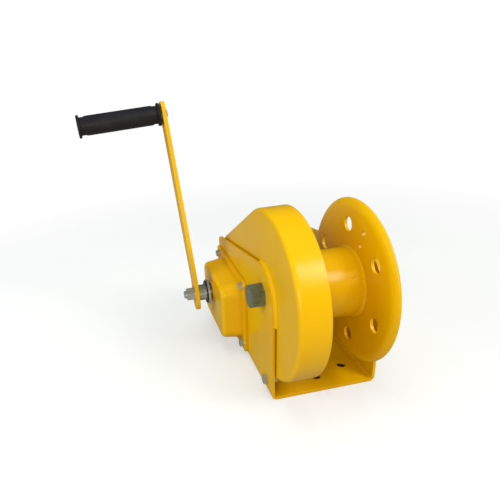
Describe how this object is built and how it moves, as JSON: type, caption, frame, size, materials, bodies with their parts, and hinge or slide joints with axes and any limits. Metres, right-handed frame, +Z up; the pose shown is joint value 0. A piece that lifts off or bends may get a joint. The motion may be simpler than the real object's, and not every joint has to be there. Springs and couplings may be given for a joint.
{
  "type": "boat trailer winch",
  "caption": "Hand winch with a U-shaped steel base, covered gear train, brake housing, flanged rope drum and a crank with a turning grip.",
  "frame": {"origin": "centre of the base's four corner bolt holes, on the underside of the base", "axes": "X along the drum axis from the crank side to the open side, Y from the drum end of the base to the rear, Z up"},
  "size_m": [0.3767, 0.3635, 0.3655],
  "materials": {
    "yellow_paint": "gloss powder coat",
    "zinc": "bright zinc plate",
    "bare_steel": "oiled machined steel",
    "black_steel": "black oxide",
    "grip_plastic": "moulded satin black",
    "bronze": "sintered bronze",
    "friction_lining": "pressed brake lining"
  },
  "bodies": {
    "frame": {"frame_bracket": "yellow_paint", "gear_cover": "yellow_paint", "cover_bead": "yellow_paint", "lug_bolt": "zinc", "lug_nut": "zinc", "lug_spacer": "zinc", "brake_cover": "yellow_paint", "brake_cover_bolts": "zinc", "axle_bolt": "bare_steel", "axle_nut": "bare_steel", "axle_washer": "zinc", "axle_sleeve": "bare_steel", "drum_spacers": "bare_steel", "lay_shaft_bushes": "bronze", "crank_shaft_bushes": "bronze", "pawl_pin": "bare_steel", "pawl_spring": "bare_steel"},
    "drum": {"drum_barrel": "yellow_paint", "drum_flange_outer": "yellow_paint", "drum_flange_inner": "yellow_paint", "drum_welds": "yellow_paint", "drum_hub": "yellow_paint", "drum_bushes": "bronze", "drum_gear": "bare_steel"},
    "lay_shaft_group": {"lay_shaft": "bare_steel", "lay_gear": "bare_steel", "lay_pinion": "bare_steel", "lay_shaft_clips": "black_steel"},
    "crank": {"crank_shaft": "zinc", "crank_pinion": "bare_steel", "crank_shaft_clip": "black_steel", "brake_hub": "bare_steel", "friction_discs": "friction_lining", "ratchet_wheel": "bare_steel", "pressure_hub": "bare_steel", "stop_disc": "zinc", "black_disc": "black_steel", "fluted_sleeve": "zinc", "crank_arm": "yellow_paint", "crank_washer": "zinc", "crank_nut": "zinc", "grip_spindle": "zinc", "grip_washer": "zinc"},
    "grip_roller": {"grip": "grip_plastic"},
    "brake_pawl": {"pawl": "bare_steel"}
  },
  "joints": [
    {"name": "drum_turn", "type": "hinge", "parent": "frame", "child": "drum", "pos_m": [0, -0.0937, 0.1425], "axis": [1, 0, 0], "continuous": true},
    {"name": "lay_shaft_turn", "type": "hinge", "parent": "frame", "child": "lay_shaft_group", "pos_m": [0, 0.00114, 0.06898], "axis": [1, 0, 0], "continuous": true},
    {"name": "crank_turn", "type": "hinge", "parent": "frame", "child": "crank", "pos_m": [0, 0.052, 0.082], "axis": [1, 0, 0], "continuous": true},
    {"name": "grip_spin", "type": "hinge", "parent": "crank", "child": "grip_roller", "pos_m": [-0.14971, 0.13981, 0.3475], "axis": [-0.9986, -0.0164, -0.0497], "continuous": true},
    {"name": "pawl_lift", "type": "hinge", "parent": "frame", "child": "brake_pawl", "pos_m": [-0.0868, 0.006, 0.092], "axis": [1, 0, 0], "range_deg": [0, 18], "stiffness_Nm_per_rad": 0.05, "springref_deg": -20.05}
  ],
  "couplings": [
    {"joint": "lay_shaft_turn", "follows": "drum_turn", "ratio": -4},
    {"joint": "crank_turn", "follows": "drum_turn", "ratio": 10}
  ]
}
